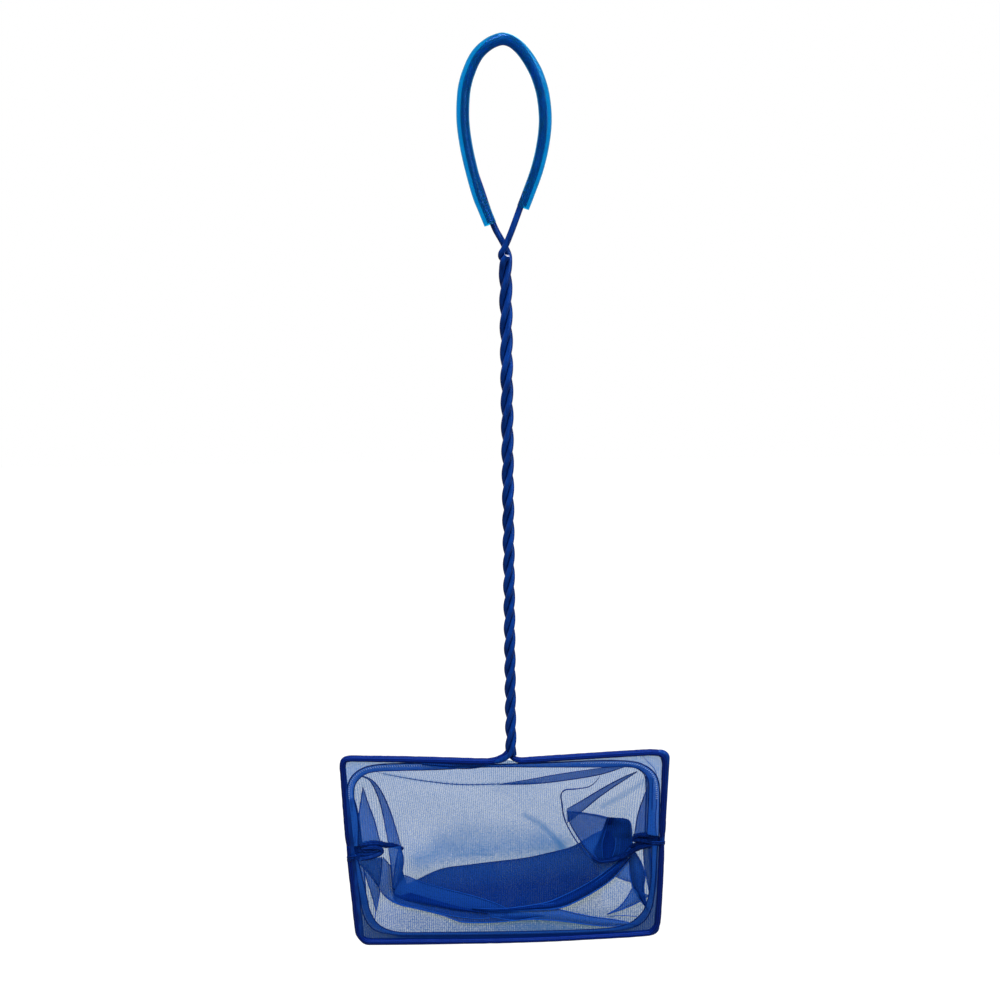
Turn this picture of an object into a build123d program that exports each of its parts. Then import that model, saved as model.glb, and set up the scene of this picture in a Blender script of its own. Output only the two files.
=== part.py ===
"""Aquarium fish net: a hand net of one twisted, plastic-coated wire with a soft mesh bag.

One steel wire in a blue coating makes the whole frame. It starts at the top of the twisted
handle, runs down the twist and round the four bars of the mouth, climbs the twist again,
makes the hanging loop inside a clear grip tube, and goes down the twist a third time.
The bag is two mesh panels with one seam round their sides and closed end. Its hem is folded
over the bars of the mouth and stitched down by a flat band.

Millimetres. The origin is where a hook bears, under the top of the grip tube.
+X is to the right, +Y goes back towards the closed end of the bag, +Z is up.
"""

from build123d import *

import os
from math import atan, atan2, ceil, cos, degrees, pi, radians, sin, sqrt

os.makedirs("parts", exist_ok=True)

# Coated wire
core_d = 1.4
coat_wall = 0.3
wire_d = core_d + 2 * coat_wall
wire_r = wire_d / 2

# Handle, from the hook down to the middle of the mouth's top bar
handle_length = 254.0
crossing_drop = 59.0
twist_neck = 4.5
twist_foot = 5.5
twist_turns = 7.225
strand_spacing_share = 0.6
free_strand_deg = -120
right_strand_deg = 120
left_strand_deg = 0
steps_per_turn = 4
loose_length = 3.0
tail_length = 2.6

# Hanging loop, along the middle of the wire
loop_half_width = 12.05
loop_widest_drop = 20.2
loop_top_bend_r = 6.5
leg_bend_r = 46.0
leg_lean = 20.8

# Clear grip tube round the loop
grip_bore_d = 3.2
grip_wall = 0.4
grip_clearance = 0.05
grip_left_end_drop = 52.0
grip_right_end_drop = 47.0
left_leg_bow = 0.8

# Mouth, along the middle of the wire, with bars as uneven as hand-bent ones
mouth_left = 65.05
mouth_right = 60.15
mouth_height = 92.5
left_corner_rise = 2.35
right_corner_rise = 3.75
left_bar_lean = 1.95
right_bar_lean = 0.3
bottom_bar_rise = 3.8
bottom_bar_bow = 1.3
corner_bend_r = 3.0
bar_start = 9.0
left_seam_drop = 45.2
right_seam_drop = 39.9

# Hem and stitched band
cloth = 0.25
hem_clearance = 0.05
band_thickness = 0.6
band_clearance = 0.2
band_left_depth = 5.5
band_right_depth = 5.8
band_top_depth = 2.4
band_bottom_depth = 4.3
band_bottom_right_depth = 3.6
band_corner_r = 13.0

# Bag panels and seams
panel_thickness = 0.4
panel_clearance = 0.1
seam_d = 2.0
upper_seam_clearance = 0.1
lower_seam_clearance = 0.2
bag_left = 50.8
bag_right = 50.0
bag_low_x = 6.0
bag_left_drop = 83.1
bag_right_drop = 64.0
bag_low_drop = 106.0
bag_left_depth = 24.0
bag_right_depth = 22.0
bag_low_depth = 32.0
side_seam_bow = 7.0
side_seam_reach = 18.0
side_seam_fall = 13.0
back_bulge = 12.0
crest_rise = 29.0
crest_reach = 9.5
crest_run_in_share = 0.35
seam_lean = 0.75
panel_start_share = 0.14
panel_columns = 20
panel_rows = 10
end_crowding_share = 0.05

# Worked out from the sizes above
twist_r = strand_spacing_share * wire_d
bar_z = -handle_length
crossing_z = -crossing_drop
twist_top_z = crossing_z - twist_neck
twist_foot_z = bar_z + twist_foot
lead = (twist_top_z - twist_foot_z) / twist_turns
loop_top_z = grip_wall + grip_clearance + wire_r
hem_bore_r = wire_r + hem_clearance
hem_r = hem_bore_r + cloth
seam_r = seam_d / 2
grip_r = grip_bore_d / 2 + grip_wall
grip_offset = grip_bore_d / 2 - wire_r - grip_clearance

# Knots near the crossing and the foot of the twist, in wire diameters
right_neck_share = (-0.69, -0.01, -1.35)
left_neck_share = (0.50, 0.56, -1.30)
crossing_share = (-0.075, 0.53)
free_end_share = (0.225, -0.90, -1.20)
free_knee_share = (-0.38, -0.66, 0)
left_foot_share = (-1.35, -0.575, 1.05)
right_heel_share = (-0.275, 0.575, 1.35)
right_foot_share = (1.30, 0.375, 0.125)


def knot(point, heading):
    """A place on a route and the way it runs there."""
    return Vector(*point), Vector(*heading).normalized()


def reverse(knots):
    """The same route, travelled the other way."""
    return [(point, -heading) for point, heading in reversed(knots)]


def mirror_knot(place):
    """The knot on the other side of the handle."""
    point, heading = place
    return Vector(-point.X, point.Y, point.Z), Vector(-heading.X, heading.Y, heading.Z)


def share_point(share, base):
    """A place given in wire diameters from a base point."""
    return Vector(*base) + Vector(*share) * wire_d


def add_arc(start, heading, end):
    """An arc that leaves the start along the heading, or a line where it is straight."""
    chord = end - start
    sideways = (chord - heading * chord.dot(heading)).length
    if sideways < chord.length * 1e-5:
        Line(start, end)
    else:
        TangentArc(start, end, tangent=heading)


def add_biarc(first, second):
    """Two arcs that join two knots along both headings."""
    (start, out), (end, into) = first, second
    chord = end - start
    both = out + into
    spread = 2 * (1 - out.dot(into))
    if spread < 1e-9:
        reach = chord.dot(chord) / (4 * chord.dot(out))
    else:
        along = chord.dot(both)
        reach = (sqrt(along**2 + spread * chord.dot(chord)) - along) / spread
    left_hand = start + out * reach
    right_hand = end - into * reach
    middle = (left_hand + right_hand) * 0.5
    add_arc(start, out, middle)
    add_arc(middle, (right_hand - left_hand).normalized(), end)


def helix_knots(strand_deg, top_z, foot_z):
    """A strand of the right-handed twist, from its top down."""
    rate = 2 * pi / lead
    steps = ceil((top_z - foot_z) / lead * steps_per_turn)
    knots = []
    for step in range(steps + 1):
        z = top_z + (foot_z - top_z) * step / steps
        turn = radians(strand_deg) + rate * (z - twist_top_z)
        point = (twist_r * cos(turn), twist_r * sin(turn), z)
        heading = (twist_r * rate * sin(turn), -twist_r * rate * cos(turn), -1)
        knots.append(knot(point, heading))
    return knots


def route_tube(name, knots, radius, bore_r=0):
    """A round tube or rod along a route, written to its own file."""
    with BuildPart() as piece:
        with BuildLine():
            for first, second in zip(knots, knots[1:]):
                add_biarc(first, second)
        with BuildSketch(Plane(origin=knots[0][0], z_dir=knots[0][1])):
            Circle(radius)
            if bore_r:
                Circle(bore_r, mode=Mode.SUBTRACT)
        sweep()
    piece.part.label = name
    export_step(piece.part, f"parts/{name}.step")


# Loop: knots from the top down the right side
shoulder = radians(90) - 2 * atan((loop_half_width - loop_top_bend_r) / (
    loop_top_z + loop_widest_drop - loop_top_bend_r
))
lean = radians(leg_lean)
leg_half = loop_half_width - leg_bend_r * (1 - cos(lean))
leg_drop = loop_widest_drop + leg_bend_r * sin(lean)
loop_top = knot((0, 0, loop_top_z), (1, 0, 0))
loop_side = [
    knot(
        (loop_top_bend_r * sin(shoulder), 0, loop_top_z - loop_top_bend_r * (1 - cos(shoulder))),
        (cos(shoulder), 0, -sin(shoulder)),
    ),
    knot((loop_half_width, 0, -loop_widest_drop), (0, 0, -1)),
    knot((leg_half, 0, -leg_drop), (-sin(lean), 0, -cos(lean))),
]
cross_x = crossing_share[0] * wire_d
cross_y = crossing_share[1] * wire_d


def leg_knot(side, drop, bow):
    """The wire where the grip tube ends, on its way from the loop to the crossing."""
    share = (drop - leg_drop) / (crossing_drop - leg_drop)
    half = leg_half + (side * cross_x - leg_half) * share + bow
    eased = share**2 * (3 - 2 * share)
    slope = 6 * share * (1 - share) / (crossing_drop - leg_drop)
    heading = (-side * sin(lean), -side * slope * cross_y, -cos(lean))
    return knot((side * half, -side * eased * cross_y, -drop), heading)


right_grip_end = leg_knot(1, grip_right_end_drop, 0)
left_grip_end = leg_knot(-1, grip_left_end_drop, left_leg_bow)
right_cross = knot((cross_x, -cross_y, crossing_z), (-0.42, 0.08, -0.90))
left_cross = knot((cross_x, cross_y, crossing_z), (0.42, 0.02, -0.89))
right_neck = knot(share_point(right_neck_share, (0, 0, crossing_z)), (0.02, 0.44, -0.87))
left_neck = knot(share_point(left_neck_share, (0, 0, crossing_z)), (0.28, -0.33, -0.90))

# Twist: three strands, the free one starting loose beside the crossing
right_strand = helix_knots(right_strand_deg, twist_top_z, twist_foot_z)
left_strand = helix_knots(left_strand_deg, twist_top_z, twist_foot_z)
free_end = knot(share_point(free_end_share, (0, 0, crossing_z)), (-0.34, 0.17, -0.93))
free_knee = knot(share_point(free_knee_share, (0, 0, twist_top_z)), (-0.25, 0.21, -0.93))
free_strand = [free_end, free_knee] + helix_knots(
    free_strand_deg, twist_top_z - loose_length, twist_foot_z
)
tail = helix_knots(right_strand_deg, twist_foot_z, twist_foot_z - tail_length)[1:]

# Mouth: corners of the wire's middle line, and knots where each bar meets its bends
top_left = Vector(-mouth_left, 0, bar_z + left_corner_rise)
top_right = Vector(mouth_right, 0, bar_z + right_corner_rise)
bottom_left = top_left + Vector(left_bar_lean, 0, -mouth_height)
bottom_right = Vector(mouth_right - right_bar_lean, 0, bottom_left.Z + bottom_bar_rise)
top_middle = Vector(0, 0, bar_z)


def bar_knots(start, end, from_bend=corner_bend_r, to_bend=corner_bend_r, bow=0):
    """Both ends of a bar of the mouth, with its headings swung out for a bow."""
    run = (end - start).normalized()
    swing = degrees(2 * atan2(2 * bow, (end - start).length))
    first = start + run * from_bend
    last = end - run * to_bend
    return [(first, run.rotate(Axis.Y, -swing)), (last, run.rotate(Axis.Y, swing))]


def bar_point(start, end, drop):
    """The place on a side bar at a drop below the top bar, and the bar's heading."""
    z = bar_z - drop
    share = (z - start.Z) / (end.Z - start.Z)
    return start + (end - start) * share, (end - start).normalized()


top_right_bar = bar_knots(top_middle, top_right, from_bend=bar_start)
right_bar = bar_knots(top_right, bottom_right)
bottom_bar = bar_knots(bottom_right, bottom_left, bow=bottom_bar_bow)
left_bar = bar_knots(bottom_left, top_left)
top_left_bar = bar_knots(top_left, top_middle, to_bend=bar_start)
left_split = bar_point(bottom_left, top_left, left_seam_drop)
right_split = bar_point(top_right, bottom_right, right_seam_drop)

# Foot of the twist: the left bar's wire passes in front, the right bar's behind
left_foot = knot(share_point(left_foot_share, top_middle), (0.80, -0.12, 0.59))
right_heel = knot(share_point(right_heel_share, top_middle), (0.35, 0.12, -0.93))
right_foot = knot(share_point(right_foot_share, top_middle), (0.98, -0.13, -0.06))

# Coating, in stretches along the one wire
coat_routes = {
    "coating_free_strand": free_strand,
    "coating_top_bar_right": [free_strand[-1], right_heel, right_foot] + top_right_bar,
    "coating_right_bar": [top_right_bar[-1]] + right_bar,
    "coating_bottom_bar": [right_bar[-1]] + bottom_bar,
    "coating_left_bar": [bottom_bar[-1]] + left_bar,
    "coating_top_bar_left": [left_bar[-1]] + top_left_bar + [left_foot, reverse(left_strand)[0]],
    "coating_left_strand": reverse(left_strand),
    "coating_left_leg": reverse([left_grip_end, left_cross, left_neck, left_strand[0]]),
    "coating_loop": [
        *reverse([*[mirror_knot(place) for place in loop_side], left_grip_end]),
        loop_top,
        *loop_side,
        right_grip_end,
    ],
    "coating_right_leg": [right_grip_end, right_cross, right_neck, right_strand[0]],
    "coating_right_strand": right_strand + tail,
}

for name, knots in coat_routes.items():
    route_tube(name, knots, wire_r, core_d / 2)

# Steel wire: one route from the free end to the tail
wire_route = list(coat_routes["coating_free_strand"])
for name in list(coat_routes)[1:]:
    wire_route += coat_routes[name][1:]
route_tube("steel_wire", wire_route, core_d / 2)

# Grip tube: the wire bears on the inner side of its bore
grip_knots = []
for point, heading in coat_routes["coating_loop"]:
    outward = heading.cross(Vector(0, 1, 0)).normalized()
    grip_knots.append((point + outward * grip_offset, heading))
route_tube("grip_tube", grip_knots, grip_r, grip_bore_d / 2)

# Hem: mesh folded over the bars, open where the twist comes down
hem_routes = {
    "hem_upper_left": [left_split, left_bar[-1], *top_left_bar],
    "hem_upper_right": [*top_right_bar, right_bar[0], right_split],
    "hem_lower": [right_split, right_bar[-1], *bottom_bar, left_bar[0], left_split],
}
for name, knots in hem_routes.items():
    route_tube(name, knots, hem_r, hem_bore_r)

# Band: the stitched strip inside the bars, with a wide round at each corner
mouth_top = bar_z - band_top_depth
mouth_corners = [
    (-mouth_left + band_left_depth, mouth_top),
    (mouth_right - band_right_depth, mouth_top),
    (bottom_right.X - band_right_depth, bottom_right.Z + band_bottom_right_depth),
    (bottom_left.X + band_left_depth, bottom_left.Z + band_bottom_depth),
]
inset = hem_r + band_clearance
bow_middle = (bottom_left + bottom_right) * 0.5
seam_run = right_split[0] - left_split[0]
seam_plane = Plane(origin=left_split[0], x_dir=seam_run, z_dir=seam_run.cross(Vector(0, 1, 0)))


def band_half(name, keep):
    """The stitched band above or below the side seams."""
    with BuildPart() as piece:
        with BuildSketch(Plane.XZ):
            with BuildLine():
                Polyline(
                    (bottom_left.X + inset, bottom_left.Z + inset),
                    (top_left.X + inset, top_left.Z - inset),
                    (-bar_start, top_left_bar[-1][0].Z - inset),
                    (bar_start, top_right_bar[0][0].Z - inset),
                    (top_right.X - inset, top_right.Z - inset),
                    (bottom_right.X - inset, bottom_right.Z + inset),
                )
                ThreePointArc(
                    (bottom_right.X - inset, bottom_right.Z + inset),
                    (bow_middle.X, bow_middle.Z - bottom_bar_bow + inset),
                    (bottom_left.X + inset, bottom_left.Z + inset),
                )
            outline = make_face()
            corners = outline.vertices().sort_by(lambda place: abs(place.X))[-4:]
            fillet(corners, corner_bend_r)
            with BuildLine():
                FilletPolyline(*mouth_corners, radius=band_corner_r, close=True)
            make_face(mode=Mode.SUBTRACT)
        extrude(amount=band_thickness / 2, both=True)
        split(bisect_by=seam_plane, keep=keep)
    piece.part.label = name
    export_step(piece.part, f"parts/{name}.step")


band_half("hem_band_upper", Keep.TOP)
band_half("hem_band_lower", Keep.BOTTOM)

# Seam: one ridge round the left bar, down the side, along the closed end and back
wrap_r = hem_r + hem_clearance + seam_r
band_front = band_thickness / 2 + band_clearance + seam_r
left_low = knot((-bag_left, bag_left_depth, bar_z - bag_left_drop), (0.60, 0.25, -0.76))
low_end = knot((-bag_low_x, bag_low_depth, bar_z - bag_low_drop), (1, 0, 0))
right_low = knot((bag_right, bag_right_depth, bar_z - bag_right_drop), (0.60, -0.30, 0.74))


def wrap_knots(place, side):
    """The seam's start, from the front of the band round the outside of the bar."""
    x, z = place[0].X, place[0].Z
    return [
        knot((x - side * band_left_depth, -band_front, z), (side, 0, 0)),
        knot((x, -wrap_r, z), (side, 0, 0)),
        knot((x + side * wrap_r, 0, z), (0, 1, 0)),
        knot((x, wrap_r, z), (-side, 0, 0)),
    ]


def side_knots(place, side, low):
    """The seam from behind the bar, back and then down to the closed end."""
    x, z = place[0].X, place[0].Z
    inward = band_left_depth + side_seam_bow
    back = knot(
        (x - side * inward, side_seam_reach / 2, z - side_seam_fall / 4), (-side * 0.62, 0.75, -0.30)
    )
    return wrap_knots(place, side) + [back, low]


left_side = side_knots(left_split, -1, left_low)
right_side = side_knots(right_split, 1, (right_low[0], -right_low[1]))
route_tube("side_seam_left", left_side, seam_r)
route_tube("end_seam", [left_low, low_end, right_low], seam_r)
route_tube("side_seam_right", right_side, seam_r)


def path_of(knots):
    """The middle line of a route, as one wire."""
    with BuildLine() as line:
        for first, second in zip(knots, knots[1:]):
            add_biarc(first, second)
    return line.wire()


def along(path, share):
    """The place at a share of a path's length."""
    return path.position_at(share * path.length, position_mode=PositionMode.LENGTH)


end_path = path_of([left_low, low_end, right_low])
left_path = path_of(left_side[-3:])
right_path = path_of(right_side[-3:])
seam_reach = seam_r + panel_thickness / 2
mouth_y = band_thickness / 2 + panel_clearance + panel_thickness / 2
column_shares = [column / panel_columns for column in range(panel_columns + 1)]
row_shares = [row / panel_rows for row in range(panel_rows + 1)]


def mouth_path(corners):
    """The panel's mouth edge, just behind the band, from the left seam to the right one."""
    with BuildLine(Plane.XZ.offset(-mouth_y)) as line:
        FilletPolyline(
            (mouth_corners[0][0], left_split[0].Z),
            *corners,
            (mouth_corners[1][0], right_split[0].Z),
            radius=band_corner_r,
        )
    return line.wire()


def off_seam(path, share, way, gap):
    """A step off a seam's middle line towards a panel's edge, square to the seam."""
    run = path.tangent_at(share * path.length, position_mode=PositionMode.LENGTH)
    return (way - run * way.dot(run)).normalized() * (seam_reach + gap)


def seam_column(path, sign, gap):
    """The edge of a panel that lies along a side seam."""
    column = []
    for down in row_shares:
        share = panel_start_share + (1 - panel_start_share) * down
        turn = pi / 2 * min(1, 2 * down)
        way = Vector(0, sign * sin(turn), sign * cos(turn))
        column.append(along(path, share) + off_seam(path, share, way, gap))
    return column


def offset_grid(grid, offset):
    """The grid moved by an offset square to the sheet at each place."""
    places = []
    for i, column in enumerate(grid):
        before = grid[max(i - 1, 0)]
        after = grid[min(i + 1, panel_columns)]
        line = []
        for j, place in enumerate(column):
            run = after[j] - before[j]
            fall = column[min(j + 1, panel_rows)] - column[max(j - 1, 0)]
            line.append(place + run.cross(fall).normalized() * offset)
        places.append(line)
    return places


def strip(first, second):
    """Small ruled faces between two lines of places."""
    return [
        Face.make_bezier_surface([[a, b], [c, d]])
        for a, b, c, d in zip(first, first[1:], second, second[1:])
    ]


def sheet_solid(grid):
    """A thin solid of small ruled faces in front, behind and round the edges."""
    front = offset_grid(grid, -panel_thickness / 2)
    back = offset_grid(grid, panel_thickness / 2)
    faces = []
    for side in (front, back):
        for first, second in zip(side, side[1:]):
            faces += strip(first, second)
    for end in (0, -1):
        faces += strip(front[end], back[end])
        faces += strip([line[end] for line in front], [line[end] for line in back])
    return Solid(Shell(faces))


def panel(name, mouth, sign, gap, swell):
    """A thin curved panel between the mouth, both side seams and the end seam."""
    sides = [seam_column(left_path, sign, gap), seam_column(right_path, sign, gap)]
    grid = [sides[0]]
    for across in column_shares[1:-1]:
        end_share = across - end_crowding_share * sin(2 * pi * across)
        mouth_place = along(mouth, across)
        end_place = along(end_path, end_share)
        end_place += off_seam(end_path, end_share, Vector(0, sign * seam_lean, 1), gap)
        side = sides[round(across)]
        nearness = (2 * across - 1) ** 2
        inward = min(1, (1 - abs(2 * across - 1)) / (2 * crest_run_in_share))
        lift = inward**2 * (3 - 2 * inward)
        column = []
        for down, seam_place in zip(row_shares, side):
            straight = side[0] + (side[-1] - side[0]) * down
            place = mouth_place + (end_place - mouth_place) * down
            place += (seam_place - straight) * nearness
            place += swell * (4 * down * (1 - down) * lift)
            column.append(place)
        grid.append(column)
    grid.append(sides[1])
    with BuildPart() as piece:
        add(sheet_solid(grid))
    piece.part.label = name
    export_step(piece.part, f"parts/{name}.step")


upper_mouth = mouth_path(mouth_corners[:2])
lower_mouth = mouth_path([mouth_corners[3], mouth_corners[2]])
upper_swell = Vector(0, back_bulge, 0)
lower_swell = Vector(0, crest_reach, crest_rise)
panel("bag_upper_panel", upper_mouth, 1, upper_seam_clearance, upper_swell)
panel("bag_lower_panel", lower_mouth, -1, lower_seam_clearance, lower_swell)
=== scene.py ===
"""Dresses the aquarium fish net: smooth coated wire, clear grip tube and a folded mesh bag."""

from math import cos, pi, radians, sin

import bpy
import numpy as np
from mathutils import Matrix, Vector


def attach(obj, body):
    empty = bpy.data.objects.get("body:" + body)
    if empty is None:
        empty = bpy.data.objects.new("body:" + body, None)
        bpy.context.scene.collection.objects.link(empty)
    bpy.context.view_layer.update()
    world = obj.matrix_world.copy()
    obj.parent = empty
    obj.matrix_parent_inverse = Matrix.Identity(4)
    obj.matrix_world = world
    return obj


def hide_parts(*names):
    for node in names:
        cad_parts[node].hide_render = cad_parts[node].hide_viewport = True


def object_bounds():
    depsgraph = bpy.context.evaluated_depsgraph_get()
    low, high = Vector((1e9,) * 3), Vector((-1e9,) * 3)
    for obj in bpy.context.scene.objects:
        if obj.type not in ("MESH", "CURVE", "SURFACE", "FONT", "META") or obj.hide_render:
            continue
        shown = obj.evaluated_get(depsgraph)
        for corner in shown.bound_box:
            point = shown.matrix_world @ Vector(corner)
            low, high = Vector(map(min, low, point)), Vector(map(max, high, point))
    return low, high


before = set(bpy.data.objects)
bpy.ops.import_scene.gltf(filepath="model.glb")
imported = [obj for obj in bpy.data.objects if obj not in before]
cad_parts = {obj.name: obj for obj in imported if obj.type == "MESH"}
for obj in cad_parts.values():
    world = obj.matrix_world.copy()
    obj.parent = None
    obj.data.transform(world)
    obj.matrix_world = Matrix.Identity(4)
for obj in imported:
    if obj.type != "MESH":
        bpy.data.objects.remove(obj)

mm = 0.001
cad_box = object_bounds()
steps_between_marks = 24

# Camera, fitted to the notches of the twist in the photograph
photo_px = 1000
focal_px = 1044.1
camera_tilt = radians(22)
camera_roll = radians(0.762)
camera_reach = 361.9 * mm
target_x = -2.81 * mm
target_z = -145.18 * mm

tilt_cos = cos(camera_tilt)
tilt_sin = sin(camera_tilt)
roll_cos = cos(camera_roll)
roll_sin = sin(camera_roll)
right = np.array([roll_cos, 0, -roll_sin])
forward = np.array([-tilt_sin * roll_sin, tilt_cos, -tilt_sin * roll_cos])
up = np.array([tilt_cos * roll_sin, tilt_sin, tilt_cos * roll_cos])
eye = np.array([target_x, 0, target_z]) - camera_reach * forward


def place(pixel, depth):
    """The point at a depth behind the mouth's plane that a pixel of the photograph shows."""
    x, y = pixel
    ray = forward + (right * (x - photo_px / 2) + up * (photo_px / 2 - y)) / focal_px
    return eye + ray * ((depth * mm - eye[1]) / ray[1])


def seen_at(points):
    """The pixels of the photograph at which points show."""
    away = points - eye
    reach = away @ forward
    x = photo_px / 2 + focal_px * (away @ right) / reach
    y = photo_px / 2 - focal_px * (away @ up) / reach
    return np.stack([x, y], axis=-1)


def lengths_along(points):
    """How far along a line each of its points is."""
    return np.concatenate([[0], np.cumsum(np.linalg.norm(np.diff(points, axis=0), axis=1))])


def smooth(points, count):
    """A smooth curve through given points, as evenly spaced places."""
    points = np.asarray(points, dtype=float)
    before = 2 * points[0] - points[1]
    after = 2 * points[-1] - points[-2]
    held = np.concatenate([[before], points, [after]])
    fine = []
    for index in range(len(points) - 1):
        a, b, c, d = held[index:index + 4]
        for step in np.linspace(0, 1, steps_between_marks, endpoint=False):
            fine.append(0.5 * (
                2 * b + (c - a) * step + (2 * a - 5 * b + 4 * c - d) * step**2
                + (3 * b - a - 3 * c + d) * step**3
            ))
    fine = np.array(fine + [points[-1]])
    runs = lengths_along(fine)
    wanted = np.linspace(0, runs[-1], count)
    return np.stack([np.interp(wanted, runs, fine[:, k]) for k in range(points.shape[1])], axis=1)


def on_photo(marks):
    """Places from a list of (pixel x, pixel y, depth in mm)."""
    return np.array([place(mark[:2], mark[2]) for mark in marks])


# Painted shadow: the mesh is made denser and its thread darker towards the low side of the mouth
low_shadow_from_px = 855
low_shadow_over_px = 60
low_shadow_density = 0.08
low_shadow_darkening = 0.6


class Pile:
    """Vertices and faces gathered for one object, with how dense each point's mesh looks and how much painted
    shade darkens its thread.
    """

    def __init__(self):
        self.points = []
        self.faces = []
        self.weave = []
        self.density_and_painted_shade = []
        self.painted_shade = []
        self.slots = []

    def grid(self, places, weave=None, closed=False, slot=0, density_and_painted_shade=0.0, painted_shade=0.0):
        """A sheet of faces over rows and columns of places."""
        rows, columns = places.shape[:2]
        base = len(self.points)
        self.points += [tuple(place) for place in places.reshape(-1, 3)]
        if weave is None:
            weave = places[..., [0, 2]]
        self.weave += [tuple(pair) + (0,) for pair in weave.reshape(-1, 2)]
        # Painted shadow: denser mesh and darker thread towards the low side of the mouth
        low = np.clip((seen_at(places)[..., 1] - low_shadow_from_px) / low_shadow_over_px, 0, 1)
        self.density_and_painted_shade += list((density_and_painted_shade + low_shadow_density * low).ravel())
        self.painted_shade += list(np.clip(low_shadow_darkening * low + painted_shade, 0, 1).ravel())
        for row in range(rows - 1):
            for column in range(columns if closed else columns - 1):
                beside = (column + 1) % columns
                first = base + row * columns
                second = first + columns
                self.faces.append((first + column, first + beside, second + beside, second + column))
                self.slots.append(slot)

    def tube(self, path, radii, sides=10, slot=0, bore=None):
        """A round tube along a path: with closed ends, or hollow with a bore as a share of it."""
        path = np.asarray(path, dtype=float)
        radii = np.broadcast_to(radii, len(path))
        runs = np.gradient(path, axis=0)
        runs /= np.linalg.norm(runs, axis=1)[:, None]
        side = np.cross(runs[0], [0, 1, 0])
        too_short = 0.2
        if np.linalg.norm(side) < too_short:
            side = np.cross(runs[0], [1, 0, 0])
        rings = []
        length = 0
        weave = []
        for index, (middle, run, radius) in enumerate(zip(path, runs, radii)):
            side = side - run * np.dot(side, run)
            side /= np.linalg.norm(side)
            across = np.cross(run, side)
            turn = np.arange(sides) * 2 * pi / sides
            rings.append(middle + radius * (np.outer(np.cos(turn), side) + np.outer(np.sin(turn), across)))
            if index:
                length += np.linalg.norm(path[index] - path[index - 1])
            weave.append(np.stack([radius * turn, np.full(sides, length)], axis=1))
        base = len(self.points)
        rings = np.array(rings)
        self.grid(rings, np.array(weave), closed=True, slot=slot)
        last = base + (len(path) - 1) * sides
        if bore:
            inner = path[:, None] + (rings - path[:, None]) * bore
            self.grid(inner[:, ::-1], closed=True, slot=slot)
            for end in (0, -1):
                self.grid(np.stack([rings[end], inner[end]]), closed=True, slot=slot)
            return
        self.faces.append(tuple(range(base + sides - 1, base - 1, -1)))
        self.faces.append(tuple(range(last, last + sides)))
        self.slots += [slot, slot]

    def build(self, name, materials):
        """One smooth-shaded object in the frame."""
        mesh = bpy.data.meshes.new(name)
        mesh.from_pydata(self.points, [], self.faces)
        weave = mesh.attributes.new("weave", "FLOAT_VECTOR", "POINT")
        weave.data.foreach_set("vector", np.array(self.weave, dtype=float).ravel())
        for spread, values in (("density_and_painted_shade", self.density_and_painted_shade), ("painted_shade", self.painted_shade)):
            attribute = mesh.attributes.new(spread, "FLOAT", "POINT")
            attribute.data.foreach_set("value", np.array(values, dtype=float))
        for material in materials:
            mesh.materials.append(material)
        mesh.polygons.foreach_set("material_index", self.slots)
        mesh.polygons.foreach_set("use_smooth", [True] * len(mesh.polygons))
        mesh.update()
        piece = bpy.data.objects.new(name, mesh)
        bpy.context.scene.collection.objects.link(piece)
        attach(piece, "root")
        return piece


# Materials
def new_material(name):
    """An empty node material and its node tree."""
    material = bpy.data.materials.new(name)
    material.use_nodes = True
    tree = material.node_tree
    tree.nodes.clear()
    return material, tree


def add(tree, kind, **values):
    """A node with its inputs set by name."""
    node = tree.nodes.new(kind)
    for key, value in values.items():
        node.inputs[key.replace("_", " ")].default_value = value
    return node


def math_node(tree, operation, first, second):
    """The result of a sum or comparison of two sockets or numbers."""
    node = tree.nodes.new("ShaderNodeMath")
    node.operation = operation
    for socket, value in zip(node.inputs, (first, second)):
        if hasattr(value, "is_linked"):
            tree.links.new(value, socket)
        else:
            socket.default_value = value
    return node.outputs[0]


def mean(tree, first, second):
    """Half of one socket and half of another."""
    return math_node(
        tree, "ADD", math_node(tree, "MULTIPLY", first, 0.5), math_node(tree, "MULTIPLY", second, 0.5))


def around_zero(tree, source, size):
    """A socket from nought to one, turned into a swing of a size round nought."""
    return math_node(tree, "MULTIPLY", math_node(tree, "SUBTRACT", source, 0.5), size)


def object_places(tree):
    """The places of the object's own frame."""
    return tree.nodes.new("ShaderNodeTexCoord").outputs["Object"]


def point_value(tree, name):
    """An attribute that the points carry."""
    node = tree.nodes.new("ShaderNodeAttribute")
    node.attribute_name = name
    return node


def ramp(tree, source, low, high, low_colour, high_colour):
    """A colour that goes from one to another between two values."""
    node = tree.nodes.new("ShaderNodeValToRGB")
    node.color_ramp.elements[0].position = low
    node.color_ramp.elements[1].position = high
    node.color_ramp.elements[0].color = (*low_colour, 1)
    node.color_ramp.elements[1].color = (*high_colour, 1)
    tree.links.new(source, node.inputs[0])
    return node.outputs[0]


def noise(tree, vector, scale, detail=3):
    """Soft noise at a scale in cycles per metre."""
    node = add(tree, "ShaderNodeTexNoise", Scale=scale, Detail=detail)
    tree.links.new(vector, node.inputs["Vector"])
    return node.outputs["Fac"]


def finish_material(tree, shader):
    """Links a shader to the material's surface."""
    output = tree.nodes.new("ShaderNodeOutputMaterial")
    tree.links.new(shader, output.inputs["Surface"])


def bump(tree, height, strength, distance):
    """A normal that follows a height, with a distance in metres."""
    node = add(tree, "ShaderNodeBump", Strength=strength, Distance=distance)
    tree.links.new(height, node.inputs["Height"])
    return node.outputs["Normal"]


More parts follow.
